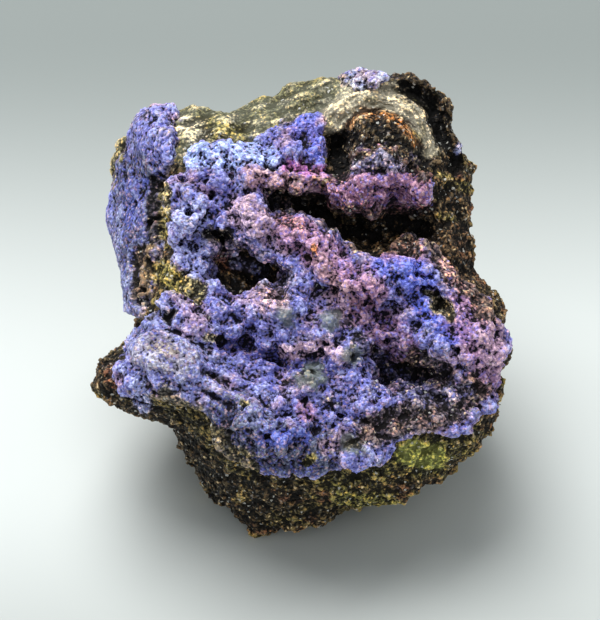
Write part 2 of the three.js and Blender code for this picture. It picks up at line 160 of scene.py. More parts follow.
# Patches of the crusts, which also dust the rock right beside them
CRUST_PATCHES = [
    patch("vivid blue by the knob", VIVID_BLUE, [(0.2, 13.2), (1.6, 11.4)], 1.3, 0.55),
    patch("pale upper border", PALE_BLUE, [(-8.0, 10.9), (-5.0, 11.1), (-2.6, 10.6)], 1.1, 1.0),
    patch("pale ball", PALE_VIOLET, [(-7.9, 6.3)], 1.5, 0.8),
    patch("pale left mass", PALE_VIOLET, [(-9.4, 4.2), (-7.4, 3.8), (-7.0, 1.8)], 1.1, 0.6),
    patch("pale bulge", PALE_VIOLET, [(-11.2, -0.6), (-9.5, -2.6), (-7.6, -4.6)], 2.4, 0.3),
    patch("beige on the bulge", BEIGE, [(-10.8, -3.0), (-8.6, -3.4)], 1.4, 0.55),
    patch("ochre on the bulge", OCHRE, [(-9.8, -2.4), (-9.0, -2.6)], 0.7, 0.5),
    patch("slate lower lump", DARK_SLATE, [(-4.8, -7.6), (-1.6, -9.6), (1.0, -9.8)], 2.2, 0.95),
    patch("pale lower lump", PALE_VIOLET, [(-3.6, -7.0), (-2.4, -7.8)], 0.8, 0.4),
    patch("vivid lower lump", VIVID_BLUE, [(-2.6, -9.0), (0.2, -8.8)], 0.7, 0.5),
    patch("shade of the left face", DARK_SLATE, [(-11.6, 9.6), (-11.9, 6.0), (-11.8, 1.6)], 1.7, 0.8),
    patch("vivid streak", VIVID_BLUE, [(6.0, 3.2), (8.2, 2.6), (9.0, 0.2), (11.0, -1.6)], 1.1, 0.7),
    # Blue crust painted deep blue in the sunken valley: painted shade
    patch("deep blue valley in painted shade", DEEP_BLUE, [(-5.0, -2.4), (-1.6, -3.4), (1.8, -3.8)], 0.9, 0.85),
    patch("magenta ledge", MAGENTA, [(-0.4, 9.9), (2.2, 9.4)], 0.8, 0.9),
    patch("pink ledge", SALMON, [(-3.2, 9.4), (-0.6, 8.9), (2.2, 8.6)], 0.9, 0.9),
    patch("pale pink mass", PALE_PINK, [(-4.2, 6.9), (-2.7, 6.2), (-1.1, 5.0)], 1.3, 0.75),
    patch("pink ridge", PINK, [(-0.6, 5.6), (1.8, 4.0), (3.0, 2.2), (4.8, 1.4)], 1.4, 0.85),
    patch("salmon beads of the ridge", SALMON, [(1.6, 3.4), (2.6, 1.8)], 0.7, 0.7),
    patch("pink below the ridge", SALMON, [(2.6, 1.2), (3.6, -0.4)], 1.1, 0.7),
    patch("pink on the mound", PALE_PINK, [(-2.9, 0.9), (-1.6, 0.6)], 0.9, 0.8),
    patch("pink beads", PALE_PINK, [(-1.1, -2.8), (1.4, -2.8), (2.9, -3.1)], 0.6, 0.85),
    patch("red below the shoulder", DUSKY_PINK, [(4.6, 0.0), (6.0, -1.6), (7.4, -2.9)], 1.3, 0.75),
    patch("pink shoulder top", PINK, [(6.2, 4.3), (8.0, 4.3)], 0.9, 0.8),
    patch("right pink mass", PINK, [(11.4, 0.0), (12.8, -2.2), (13.2, -4.6)], 1.7, 0.75),
    patch("pale right edge", PALE_PINK, [(13.2, -1.6), (13.8, -3.6)], 1.0, 0.5),
    patch("pink spot", PINK, [(0.4, -7.1)], 0.7, 0.8),
    patch("pink lower mound", PALE_PINK, [(2.0, -9.6), (3.0, -8.8)], 0.8, 0.6),
    glassy("glassy mound", [(0.7, -4.7)], 1.1),
    glassy("glassy middle", [(2.1, -0.8)], 0.9, 0.8),
    glassy("second glassy mound", [(3.7, -3.2)], 0.8, 0.8),
    glassy("glassy lower mound", [(3.7, -9.4)], 0.9, 0.8),
    glassy("glassy left of the middle", [(-1.0, -0.3)], 0.8, 0.8),
    patch("vivid left part", VIVID_BLUE, [(-11.6, 8.6), (-11.8, 6.4)], 1.0, 0.3),
    # Painted highlight: the crust's left edge painted paler where the light catches it
    patch("painted highlight on the left edge", PALE_VIOLET, [(-13.2, 8.0), (-13.0, 3.0), (-12.6, 0.4)], 0.6, 0.5),
]
# Where the rock is smoother: the flat of the top and the shell band round the knob
PLAIN_TOP = [(-8.4, 12.6), (-3.4, 13.4), (0.2, 14.6), (3.0, 15.2)]
PLAIN_BAND = [(2.4, 13.6), (3.9, 15.1), (6.2, 15.4), (8.2, 14.1), (9.0, 11.8)]

# Patches of the bare rock
ROCK_PATCHES = [
    patch("olive top", OLIVE_GREY, PLAIN_TOP, 2.3, 0.9, chalk=0.0, glass=0.55),
    bare("olive of the top", OLIVE, [(-6.6, 12.6), (-4.4, 12.8)], 0.8, 0.7),
    bare("cream corner", CREAM, [(-8.0, 13.2), (-7.2, 12.2)], 0.8, 0.55),
    patch("shell band", SHELL_GREY, PLAIN_BAND, 1.2, 0.9, chalk=0.0, glass=0.7),
    bare("knob", DARK_BROWN, [(4.2, 12.6), (6.4, 12.8), (7.4, 11.4), (7.0, 10.0), (4.6, 10.6)], 1.4, 0.95),
    bare("orange rim", ORANGE, [(3.2, 13.0), (4.4, 14.0), (6.0, 14.1), (7.6, 12.9), (8.3, 11.6)], 0.35, 0.6),
    # Painted shade: the crevice is painted near black
    bare("crevice", BLACK, [(7.4, 16.0), (8.8, 15.0), (9.8, 13.6), (10.2, 12.0)], 0.8, 0.95),
    bare(
        "hood", DARK_BROWN, [(5.4, 17.2), (8.0, 17.0), (10.2, 15.6), (11.2, 13.4), (11.4, 11.6)], 0.9, 0.95
    ),
    # Dark brown rock, painted darker still as shade on the downward-facing lower face
    bare("dark lower left in painted shade", DARK_BROWN, [(-8.6, -8.4), (-6.0, -11.6), (-3.6, -13.6)], 2.2, 0.95),
    bare("olive under the crust", OLIVE, [(1.0, -11.4), (6.0, -11.2), (11.4, -9.2)], 1.6, 0.45),
    patch("yellow green patch", YELLOW_GREEN, [(7.6, -10.0), (9.4, -10.4)], 1.1, 0.9, 0.0, glass=0.5),
    bare("green streaks", YELLOW_GREEN, [(2.6, -13.4), (6.8, -13.6)], 0.6, 0.3),
    bare("ochre spot", OCHRE, [(-4.0, -13.2)], 0.6, 0.7),
    bare("dark prong", DARK_BROWN, [(-14.2, -3.6), (-12.8, -6.0), (-10.4, -7.6)], 1.5, 0.8),
    bare("red of the prong", RED_BROWN, [(-13.4, -4.4), (-12.6, -5.4)], 0.6, 0.6),
    bare("red right side", RED_BROWN, [(10.4, 4.0), (12.0, 1.6)], 1.4, 0.5),
]
# Patches that go on over crust and rock alike
SHARED_PATCHES = [
    bare("brown above the ledge", DARK_BROWN, [(3.2, 10.6), (7.0, 10.8), (8.6, 9.8)], 1.0, 0.9),
    patch("lilac under the knob", LILAC_GREY, [(4.2, 10.0), (5.6, 10.8), (6.8, 10.0)], 0.55, 0.7, 0.6),
    patch("dusky ledge", DUSKY_PINK, [(2.7, 8.2), (5.2, 7.8), (8.2, 8.1)], 1.3, 0.9),
    patch("pale tips of the dusky ledge", PINK, [(2.8, 9.2), (5.2, 9.2), (8.2, 8.9)], 0.4, 0.7),
    patch("blue speck", PALE_VIOLET, [(11.2, 11.3)], 0.4, 0.8),
    patch("blue strip by the prong", PALE_VIOLET, [(-11.5, -4.7), (-11.0, -6.8)], 0.5, 0.8),
    # Painted shade: the pit by the knob is painted near black
    bare("pit by the knob", BLACK, [(2.8, 12.0), (2.9, 9.8)], 0.9, 0.9),
    # Painted shade: the hollow under the ledge is painted near black
    bare("hollow under the ledge", BLACK, [(-1.8, 7.8), (1.4, 7.3)], 0.9, 0.9),
    # Brown crumbs of the hollow, painted dark as shade
    bare("dark hollow, brown crumbs in painted shade", DARK_BROWN, [(2.6, 6.3), (8.4, 6.2)], 1.3, 0.85),
    bare("brown under the hollow", BROWN, [(4.2, 4.7), (8.0, 4.5)], 0.8, 0.9),
    bare("orange crumb", ORANGE, [(1.1, 4.3)], 0.4, 0.9),
    bare("rust below the pink mass", RED_BROWN, [(-1.4, 6.6), (-0.2, 6.0)], 0.5, 0.6),
    bare("brown recess", BROWN, [(-5.2, 4.2), (-3.4, 3.0), (-1.8, 1.8)], 1.5, 0.65),
    bare("rust in the recess", RED_BROWN, [(-5.6, 3.4), (-3.8, 2.8)], 0.4, 0.7),
    patch("violet crumbs of the recess", PALE_VIOLET, [(-4.6, 3.6), (-2.6, 2.4)], 0.5, 0.6, 0.8),
    # Painted shade: the gap is painted near black
    bare("black gap", BLACK, [(-6.3, 5.4), (-5.4, 5.2)], 0.7, 0.95),
    bare("brown right of the cavity", BROWN, [(7.8, -3.4), (10.2, -4.6)], 1.0, 0.8),
    # Painted shade: the cavity is painted near black
    bare("cavity", BLACK, [(6.2, -4.2), (8.6, -5.2)], 1.4, 0.7),
    bare("brown sill", BROWN, [(5.2, -8.4), (7.4, -7.6), (10.0, -7.0), (12.2, -5.8)], 1.4, 0.85),
    patch("lilac crumbs of the sill", LILAC_GREY, [(8.6, -6.4), (11.6, -5.6)], 0.5, 0.6, 0.8),
    bare(
        "brown right of the shoulder", BROWN, [(9.6, 5.0), (11.0, 2.8), (12.4, 1.0), (13.4, 0.0)], 1.1, 0.9
    ),
    patch("red crumbs by the shoulder", SALMON, [(10.2, 3.4), (11.2, 1.6)], 0.4, 0.5, 0.6),
    # Painted shade: the gully is painted near black
    bare("gully", BLACK, [(4.0, -1.8), (5.0, -3.0)], 0.5, 0.8),
    bare("olive rim", OLIVE, [(-9.6, 8.6), (-9.8, 5.0)], 0.45, 0.9),
    bare("olive patch", OLIVE, [(-10.3, 2.9), (-8.6, 1.9), (-7.2, 1.2)], 0.9, 0.9),
    bare("olive nook", OLIVE, [(9.2, 1.0), (10.4, -0.3)], 0.6, 0.9),
    bare("olive spot", OLIVE, [(-3.9, -6.4)], 0.4, 0.9),
    bare("lower olive spot", OLIVE, [(0.6, -10.4)], 0.5, 0.9),
    bare("olive step", OLIVE, [(-6.5, -1.9), (-5.6, -2.1)], 0.4, 0.8),
    # Painted shade in the sunken step
    bare("painted shade of the step", DARK_BROWN, [(-6.6, -4.5), (-5.2, -5.1)], 0.3, 0.7),
    bare(
        "olive below the bulge", DARK_OLIVE, [(-9.6, -6.2), (-7.4, -7.4), (-5.6, -9.4), (-3.6, -11.2)],
        1.0, 0.9,
    ),
    bare("left olive rim", OLIVE, [(-12.4, 14.2), (-13.3, 11.0), (-14.1, 8.6)], 0.5, 0.9),
    # Painted shade: the crack beside the left crust is painted near black
    bare("dark crack", BLACK, [(-10.6, 9.4), (-10.3, 6.6), (-10.4, 4.6)], 0.45, 0.9),
    bare("brown lower part", BROWN, [(-10.9, 4.2), (-11.3, 1.4)], 0.8, 0.9),
]


def stroke(name, path, width, height, flat=0.0):
    """Raises the display side by a height in mm, or sinks it, along a path of places, out to a
    half-width in mm. The share of the half-width that is flat decides how steep its sides are."""
    return {"name": name, "path": path, "width": width, "height": height, "flat": flat}


STROKES = [
    stroke("knob", [(5.2, 12.0), (6.4, 11.6)], 2.5, 1.3, 0.6),
    stroke("pit by the knob", [(2.7, 12.0), (2.7, 9.8)], 0.9, -1.2, 0.3),
    stroke("groove of the rim", [(3.2, 13.4), (4.6, 14.4), (6.2, 14.5), (7.9, 13.2)], 0.45, -0.6),
    stroke("crevice", [(7.6, 15.8), (8.8, 14.9), (9.7, 13.6), (10.1, 12.0)], 0.7, -0.9, 0.3),
    stroke("hood", [(5.4, 17.4), (8.0, 17.0), (10.4, 15.8), (11.4, 13.6), (11.6, 11.6)], 1.0, 0.8, 0.5),
    stroke("lobe of the right edge", [(11.8, 9.8)], 1.2, 0.6, 0.3),
    stroke("gap beside the lobe", [(10.4, 11.0), (10.4, 8.4)], 0.5, -0.8, 0.2),
    stroke("magenta ledge", [(-2.6, 9.4), (0.0, 9.1), (2.2, 9.0)], 1.0, 0.7, 0.5),
    stroke("dusky ledge", [(2.8, 8.7), (5.6, 8.5), (8.4, 8.5)], 1.3, 1.0, 0.6),
    stroke("gap in the dusky ledge", [(6.6, 7.4), (6.4, 8.4)], 0.35, -0.6),
    stroke("hollow under the ledge", [(-1.8, 7.4), (1.6, 7.0)], 0.9, -1.0, 0.4),
    stroke("black hollow", [(2.6, 6.2), (8.4, 6.0)], 1.2, -1.0, 0.4),
    stroke("pale pink mass", [(-3.9, 6.6), (-2.7, 6.2)], 1.6, 0.6, 0.2),
    stroke("ball", [(-7.9, 6.3)], 1.3, 0.6, 0.3),
    stroke("black gap", [(-6.2, 5.4), (-5.6, 5.2)], 0.6, -0.9, 0.3),
    stroke("recess", [(-5.2, 4.2), (-3.4, 3.0), (-1.8, 1.9)], 1.3, -0.7, 0.4),
    stroke("ridge", [(-0.4, 5.8), (1.8, 3.8), (3.2, 2.2), (4.8, 1.4)], 1.2, 0.6, 0.2),
    stroke("gap under the ridge", [(0.2, 3.4), (1.6, 1.6), (3.2, 0.2)], 0.5, -0.5),
    stroke("shoulder", [(5.4, 3.2), (7.6, 2.8)], 1.9, 0.5, 0.2),
    stroke("gully of the shoulder", [(4.4, 1.6), (5.2, -0.4)], 0.4, -0.5),
    stroke("nook", [(9.2, 1.0), (10.4, -0.3)], 0.7, -0.6, 0.2),
    stroke("rim of the nook", [(8.4, 2.0), (10.2, 1.4), (11.2, -0.4)], 0.4, 0.3),
    stroke("mound", [(-2.4, 0.6), (-0.6, 0.0)], 1.7, 0.6, 0.1),
    stroke("valley", [(-5.2, -2.4), (-1.8, -3.5), (1.6, -4.0)], 0.8, -0.5, 0.1),
    stroke("bead row", [(-1.0, -2.6), (1.4, -2.6), (2.9, -2.9)], 0.5, 0.35),
    stroke("glassy mound", [(0.7, -4.7)], 0.9, 0.45, 0.2),
    stroke("glassy middle", [(2.1, -0.8)], 0.7, 0.35, 0.2),
    stroke("second glassy mound", [(3.7, -3.2)], 0.6, 0.35, 0.2),
    stroke("glassy lower mound", [(3.7, -9.4)], 0.8, 0.4, 0.2),
    stroke("red lumps", [(4.4, -0.6), (6.0, -1.8)], 0.8, 0.35),
    stroke("cavity", [(6.2, -4.4), (8.6, -4.8)], 1.3, -0.9, 0.3),
    stroke("lump left of the cavity", [(4.6, -5.6), (4.8, -7.2)], 0.8, 0.4),
    stroke("right pink lumps", [(11.6, -0.8), (13.0, -3.4)], 1.0, 0.35),
    stroke("gap in the right mass", [(10.2, -2.4), (11.6, -4.4)], 0.4, -0.4),
    stroke("lower lump", [(-3.4, -8.0), (-1.4, -8.8)], 1.8, 0.6, 0.2),
    stroke("gap beside the lower lump", [(0.2, -6.0), (0.9, -8.4)], 0.4, -0.4),
    stroke("bulge", [(-10.6, -2.0), (-8.6, -3.6)], 2.4, 0.35, 0.2),
    stroke("furrow of the bulge", [(-11.6, 0.0), (-8.6, -1.6), (-5.2, -3.4)], 0.45, -0.45),
    stroke("first step", [(-6.8, -4.3), (-5.2, -5.0)], 0.5, -0.4),
    stroke("second step", [(-6.4, -6.0), (-4.8, -6.6)], 0.45, -0.3),
    stroke("dark crack", [(-10.6, 9.4), (-10.3, 6.6), (-10.5, 4.4)], 0.6, -0.6, 0.2),
    stroke("upper left furrow", [(-8.6, 9.4), (-6.6, 8.2), (-4.8, 7.9)], 0.45, -0.5),
    stroke("left gap", [(-9.0, 4.9), (-7.0, 4.4)], 0.35, -0.5),
]


# Drifts of colour: grain size in mm, noise where each begins and is whole, strength, colour, chalk, seed
CRUST_DRIFTS = [
    (2.1, 0.05, 0.5, 0.55, SALMON, 1.0, 20.0),
    (1.4, 0.10, 0.5, 0.55, PALE_VIOLET, 1.0, 27.0),
    (1.7, 0.15, 0.6, 0.55, DEEP_BLUE, 1.0, 34.0),
    (0.8, 0.25, 0.6, 0.55, LILAC_GREY, 1.0, 41.0),
    (1.1, 0.35, 0.6, 0.60, DARK_OLIVE, 0.0, 48.0),
]
ROCK_DRIFTS = [
    (4.2, -0.1, 0.4, 0.8, DARK_OLIVE, 0.0, 55.0),
    (2.3, 0.1, 0.5, 0.7, DARK_BROWN, 0.0, 62.0),
    (1.6, 0.25, 0.6, 0.6, RED_BROWN, 0.0, 69.0),
]

# How far the patches' edges wander and over what length, and the same for their grain, in mm
PATCH_FRAY = (0.4, 1.3)
PATCH_GRAIN = (0.30, 0.4)

# The striae of the top: their direction, and their half-width, length and spacing in mm
TOP_STRIAE = (0.96, 0.28)
TOP_WIDTH = 2.2
TOP_GRAIN = (1.8, 0.4)
TOP_SEED = 97.0

# The striae of the shell band, which run round the knob
KNOB_MIDDLE = (5.4, 11.6)
BAND_RADIUS = 4
BAND_WIDTH = 1.0
BAND_GRAIN = (2.0, 0.3)
BAND_SEED = 91.0

# How far the ledge under the knob hangs down at each place u, in mm, and where along v
LEDGE_DROPS = [(1.4, 0.0), (3.0, 0.7), (5.4, 0.9), (6.1, -0.3), (7.2, 0.0), (8.6, 0.3), (9.6, 0.0)]
LEDGE_REACH = (10.0, 8.6, 6.6, 4.6)

# How far the outline moves to the right at each height v, in mm
LEFT_SHIFTS = [
    (14.0, 0.0), (11.4, 0.2), (8.6, 0.7), (5.7, 0.7), (2.9, 1.0), (1.4, 1.2), (-1.4, 0.8),
    (-2.9, 0.3), (-4.3, -0.9), (-5.7, -0.8), (-7.1, 0.0), (-8.6, 0.6), (-10.0, 0.3), (-12.0, 0.0),
]
RIGHT_SHIFTS = [
    (17.0, 0.5), (15.7, 0.9), (14.3, 0.4), (12.9, 0.0), (11.6, 0.4), (10.3, 1.3), (9.2, 1.2),
    (8.0, 0.3), (6.4, 0.0), (4.3, -0.3), (2.9, -0.9), (1.4, -0.1), (-1.4, 0.0), (-2.9, 0.7),
    (-4.3, -0.1), (-5.7, 0.0), (-7.1, 0.5), (-8.6, 0.1), (-10.0, 0.0),
]
# Where the outline's move begins and where it is whole, in mm from the middle
SHIFT_REACH = (8.0, 12.5)

# The smoother stretches of crust, with their flow lines' direction, length and spacing in mm
FLOWS = [
    {
        "region": [(-10.6, -1.2), (-8.6, -3.6), (-5.8, -5.6)], "reach": (1.6, 3.2),
        "direction": (0.86, -0.51), "grain": (3.2, 0.8),
    },
    {
        "region": [(-12.4, 12.6), (-12.6, 7.0), (-12.2, 1.5)], "reach": (1.5, 2.4),
        "direction": (0.12, 0.99), "grain": (2.6, 0.55),
    },
]
FLOW_SEED = 64.0
FLOW_HEIGHT = 0.35

# The strokes' heights are raised by this factor
STROKE_FACTOR = 1.35

# How far the strokes' edges wander and over what length, in mm
STROKE_FRAY = (0.3, 1.4)
STROKE_SEED = 51.0

# Where the front crust thins out beside the knob: its path, its reach in mm and its press
THIN_CRUST = [(0.4, 13.4), (1.6, 11.4)]
THIN_REACH = (1.0, 2.2)
THIN_PRESS = 0.5

# The streaks of the bare rock: their direction, and their length and spacing in mm
ROCK_STREAKS = (0.97, -0.24)
STREAK_GRAIN = (3.6, 0.8)
STREAK_SEED = 104.0

# How many rounds of smoothing give the average that a point's height, hollow and dip are measured from
RELIEF_NAMES = ("height", "hollow", "dip")
ROCK_ROUNDS = (4, 20, 100)
CRUST_ROUNDS = (6, 40, 250)

# The most triangles that a piece keeps
TRIANGLES = 190000

# The floor's painted shade in front of the specimen and far behind it, and where along the floor it sets in,
# in metres
FRONT_FLOOR_SHADE = (0.50, 0.53, 0.51)
FAR_FLOOR_SHADE = (0.27, 0.30, 0.29)
NEAR_CHANGE = (-0.026, -0.002)
FAR_CHANGE = (0.005, 0.05)

# The lights' sizes and places in metres, and the light of the room
KEY_SIZE = 0.34
KEY_PLACE = (-0.10, 0.08, 0.42)
FILL_SIZE = 0.5
FILL_PLACE = (0.05, -0.45, 0.30)
ROOM_COLOUR = (0.80, 0.85, 0.88, 1)
ROOM_STRENGTH = 0.42


def display_places(points):
    """Points of the part's frame, as places u, v and depths w of the display frame, in mm."""
    about = (points - np.array(DISPLAY_MIDDLE)) / MM
    return np.stack((about @ ACROSS, about @ UPWARD, about @ TOWARDS), axis=1)


def points_of(piece):
    flat = np.empty(len(piece.data.vertices) * 3)
    piece.data.vertices.foreach_get("co", flat)
    return flat.reshape(-1, 3)


def normals_of(piece):
    flat = np.empty(len(piece.data.vertices) * 3)
    piece.data.vertex_normals.foreach_get("vector", flat)
    return flat.reshape(-1, 3)


def smoothstep(low, high, value):
    t = np.clip((value - low) / (high - low), 0.0, 1.0)
    return t * t * (3 - 2 * t)


def path_distance(places, path):
    """Distance in mm from each place to a bent line on the display plane."""
    uv = places[:, :2]
    ends = np.array(path, float)
    least = np.full(len(uv), np.inf)
    for start, end in zip(ends, ends[1:] if len(ends) > 1 else ends):
        span = end - start
        length = span @ span
        t = np.clip((uv - start) @ span / length, 0, 1) if length else np.zeros(len(uv))
        least = np.minimum(least, np.linalg.norm(uv - start - t[:, None] * span, axis=1))
    return least


def noise_at(points, size, seed, octaves=2):
    """Fractal noise of a grain size in mm at each point, about -1 to 1."""
    shift = Vector((seed, 2.0 * seed, -seed))
    scale = 1 / (size * MM)
    return np.array([noise.fractal(Vector(p) * scale + shift, 1.0, 2.0, octaves) for p in points])


def lined_noise(places, direction, grain, seed, octaves):
    """Noise stretched along a direction of the display plane, with a length and a spacing in mm."""
    along = places[:, :2] @ np.array(direction) / grain[0]
    across = places[:, :2] @ np.array((-direction[1], direction[0])) / grain[1]
    return noise_at(np.stack((along, across, 0 * along), axis=1) * MM, 1.0, seed, octaves)


def flow_of(places):
    """The height of the flow lines at each place, about -1 to 1, and how far it lies inside the
    smoother stretches of the crust, 0 to 1."""
    height = np.zeros(len(places))
    calm = np.zeros(len(places))
    for flow in FLOWS:
        inside = 1 - smoothstep(*flow["reach"], path_distance(places, flow["region"]))
        height += inside * lined_noise(places, flow["direction"], flow["grain"], FLOW_SEED, 3)
        calm = np.maximum(calm, inside)
    return height, calm


def select_only(piece):
    for other in bpy.context.view_layer.objects:
        other.select_set(False)
    piece.select_set(True)
    bpy.context.view_layer.objects.active = piece


def apply_modifier(piece, kind, **settings):
    """Adds a modifier to a piece and applies it at once."""
    modifier = piece.modifiers.new(kind.title(), kind)
    for name, value in settings.items():
        setattr(modifier, name, value)
    select_only(piece)
    bpy.ops.object.modifier_apply(modifier=modifier.name)


def remesh(piece, size):
    apply_modifier(piece, "REMESH", mode="VOXEL", voxel_size=size)


def merged_copy(node, name):
    """A copy of a frame node with its loose triangles joined, as a new piece."""
    piece = bpy.data.objects.new(name, frame["nodes"][node].data.copy())
    piece.data.name = name
    piece.data.materials.clear()
    bpy.context.scene.collection.objects.link(piece)
    select_only(piece)
    bpy.ops.object.mode_set(mode="EDIT")
    bpy.ops.mesh.select_all(action="SELECT")
    bpy.ops.mesh.remove_doubles(threshold=0.001 * MM)
    bpy.ops.object.mode_set(mode="OBJECT")
    return piece


def weigh(piece, name, weights):
    """Writes one weight for each point as a vertex group."""
    group = piece.vertex_groups.new(name=name)
    for index in np.flatnonzero(weights > 0.004):
        group.add([int(index)], float(weights[index]), "REPLACE")
    return group.name


def store(piece, name, values):
    """Writes one number or one colour for each point as an attribute."""
    if values.ndim == 1:
        attribute = piece.data.attributes.new(name, "FLOAT", "POINT")
        attribute.data.foreach_set("value", values.astype(np.float32))
    else:
        attribute = piece.data.attributes.new(name, "FLOAT_COLOR", "POINT")
        rgba = np.concatenate((values, np.ones((len(values), 1))), axis=1)
        attribute.data.foreach_set("color", rgba.astype(np.float32).ravel())


def texture_of(kind, size, **settings):
    texture = bpy.data.textures.new(f"{kind.lower()} {size} mm", kind)
    texture.noise_scale = size * MM
    for name, value in settings.items():
        setattr(texture, name, value)
    return texture


def roughen(piece, texture, height, group="", middle=0.5):
    """Pushes a piece's points along their normals by a texture, over a height in mm."""
    apply_modifier(
        piece, "DISPLACE", texture=texture, texture_coords="LOCAL", strength=height * MM,
        mid_level=middle, vertex_group=group,
    )


def thin(piece):
    """Leaves a piece no more than its share of triangles."""
    triangles = sum(len(face.vertices) - 2 for face in piece.data.polygons)
    if triangles > TRIANGLES:
        apply_modifier(piece, "DECIMATE", ratio=TRIANGLES / triangles)


def push(piece, distances, direction):
    """Moves each point of a piece by its own distance in mm, which may be negative."""
    for way in (1, -1):
        part = np.clip(way * distances, 0, None)
        most = float(part.max())
        if most < 0.01:
            continue
        group = weigh(piece, "push", part / most)
        for axis, along in zip("XYZ", direction):
            if along:
                apply_modifier(
                    piece, "DISPLACE", direction=axis, strength=way * most * along * MM,
                    mid_level=0.0, vertex_group=group,
                )
        piece.vertex_groups.clear()


def frayed_places(points, fray, seed):
    """The places of points, moved by noise in both directions."""
    amount, length = fray
    places = display_places(points)
    places[:, 0] += amount * noise_at(points, length, seed)
    places[:, 1] += amount * noise_at(points, length, seed + 5)
    return places


def shape_display_side(piece, share):
    """Raises and sinks a piece by the strokes and the flow lines, hangs the ledge down and moves the
    outline. The share is how much of the strokes and the ledge's drop each point takes."""
    points = points_of(piece)
    places = frayed_places(points, STROKE_FRAY, STROKE_SEED)
    height = np.zeros(len(points))
    for line in STROKES:
        reach = path_distance(places, line["path"]) / line["width"]
        height += STROKE_FACTOR * line["height"] * (1 - smoothstep(line["flat"], 1.0, reach))
    lines, _ = flow_of(places)
    height += FLOW_HEIGHT * lines
    push(piece, share * height, TOWARDS)
    drops = np.interp(places[:, 0], *zip(*LEDGE_DROPS))
    top, whole, bottom, end = LEDGE_REACH
    hang = smoothstep(-top, -whole, -places[:, 1]) * smoothstep(end, bottom, places[:, 1])
    push(piece, -share * drops * hang, UPWARD)
    places = display_places(points)
    left = np.interp(-places[:, 1], *zip(*((-v, shift) for v, shift in LEFT_SHIFTS)))
    right = np.interp(-places[:, 1], *zip(*((-v, shift) for v, shift in RIGHT_SHIFTS)))
    push(
        piece,
        left * smoothstep(*SHIFT_REACH, -places[:, 0]) + right * smoothstep(*SHIFT_REACH, places[:, 0]),
        ACROSS,
    )


def striae_of(places):
    """The height of the fine striae at each place, about -1 to 1, and how far it lies inside the
    smoother stretches of the rock, 0 to 1."""
    spoke = places[:, :2] - np.array(KNOB_MIDDLE)
    radius = np.linalg.norm(spoke, axis=1)
    arc = BAND_RADIUS * np.arctan2(spoke[:, 1], spoke[:, 0])
    on_top = 1 - smoothstep(0.8, 1.2, path_distance(places, PLAIN_TOP) / TOP_WIDTH)
    on_band = 1 - smoothstep(0.8, 1.2, path_distance(places, PLAIN_BAND) / BAND_WIDTH)
    ringed = lined_noise(np.stack((arc, radius), axis=1), (1.0, 0.0), BAND_GRAIN, BAND_SEED, 2)
    lined = lined_noise(places, TOP_STRIAE, TOP_GRAIN, TOP_SEED, 2)
    return 2 * (lined + on_band * (ringed - lined)), np.maximum(on_top, on_band)


def height_over_average(piece, rounds):
    """How far each point stands over the surface's local average, in its own spread: hollows are
    negative."""
    points = points_of(piece)
    average = piece.copy()
    average.data = piece.data.copy()
    bpy.context.scene.collection.objects.link(average)
    apply_modifier(average, "SMOOTH", factor=0.5, iterations=rounds)
    height = np.einsum("ij,ij->i", points - points_of(average), normals_of(average))
    mesh = average.data
    bpy.data.objects.remove(average)
    bpy.data.meshes.remove(mesh)
    return np.clip(height / np.percentile(np.abs(height), 68), -3, 3)


def store_relief(piece, rounds):
    """Writes how far each point stands over its near, its wider and its widest surroundings."""
    for name, count in zip(RELIEF_NAMES, rounds):
        store(piece, name, height_over_average(piece, count))


def cover_of(tree, piece):
    """How much of a crust lies over each point, 0 to 1: 0 beside a crust as well as far from it."""
    cover = np.empty(len(piece.data.vertices))
    for i, (point, normal) in enumerate(zip(points_of(piece), normals_of(piece))):
        nearest, _, _, away = tree.find_nearest(Vector(point))
        over = (nearest - Vector(point)).dot(Vector(normal)) / max(away, 1e-9)
        cover[i] = (1 - smoothstep(0.5, 1.1, away / MM)) * smoothstep(0.5, 0.85, over)
    return cover


def tree_of_crusts():
    """The crusts' solids, to measure how near a point is to them."""
    corners = []
    faces = []
    for node in CRUST_NODES:
        mesh = frame["nodes"][node].data
        first = len(corners)
        corners += [vertex.co.copy() for vertex in mesh.vertices]
        faces += [[first + corner for corner in face.vertices] for face in mesh.polygons]
    return BVHTree.FromPolygons(corners, faces)


def distance_to(tree, points):
    """Distance in mm from each point to a surface."""
    return np.array([tree.find_nearest(Vector(point))[3] for point in points]) / MM


class Paint:
    """The colour, the chalk and the glass of a piece's points, while patches are laid on them."""

    def __init__(self, piece, base, chalk, seed):
        self.piece = piece
        self.points = points_of(piece)
        self.colour = np.tile(np.array(base, float), (len(self.points), 1))
        self.chalk = np.full(len(self.points), float(chalk))
        self.glass = np.zeros(len(self.points))
        self.seed = seed
        self.frayed = frayed_places(self.points, PATCH_FRAY, seed)
        self.grain = PATCH_GRAIN[0] * noise_at(self.points, PATCH_GRAIN[1], seed + 9)

    def lay(self, mask, colour, chalk, glass=0.0):
        self.colour += mask[:, None] * (np.array(colour) - self.colour)
        self.chalk += mask * (chalk - self.chalk)
        self.glass += mask * (glass - self.glass)

    def drifts(self, drifts):
        """Lays each drift's colour where its noise is high."""
        for size, low, high, strength, colour, chalk, shift in drifts:
            field = noise_at(self.points, size, self.seed + shift, 3)
            self.lay(strength * smoothstep(low, high, field), colour, chalk)

    def patches(self, patches, share):
        for layer in patches:
            reach = path_distance(self.frayed, layer["path"]) / layer["width"] + self.grain
            mask = layer["strength"] * share * (1 - smoothstep(0.65, 1.15, reach))
            self.lay(mask, layer["colour"], layer["chalk"], layer["glass"])

    def keep(self):
        store(self.piece, "tint", self.colour)
        store(self.piece, "chalk", self.chalk)
        store(self.piece, "glass", self.glass)


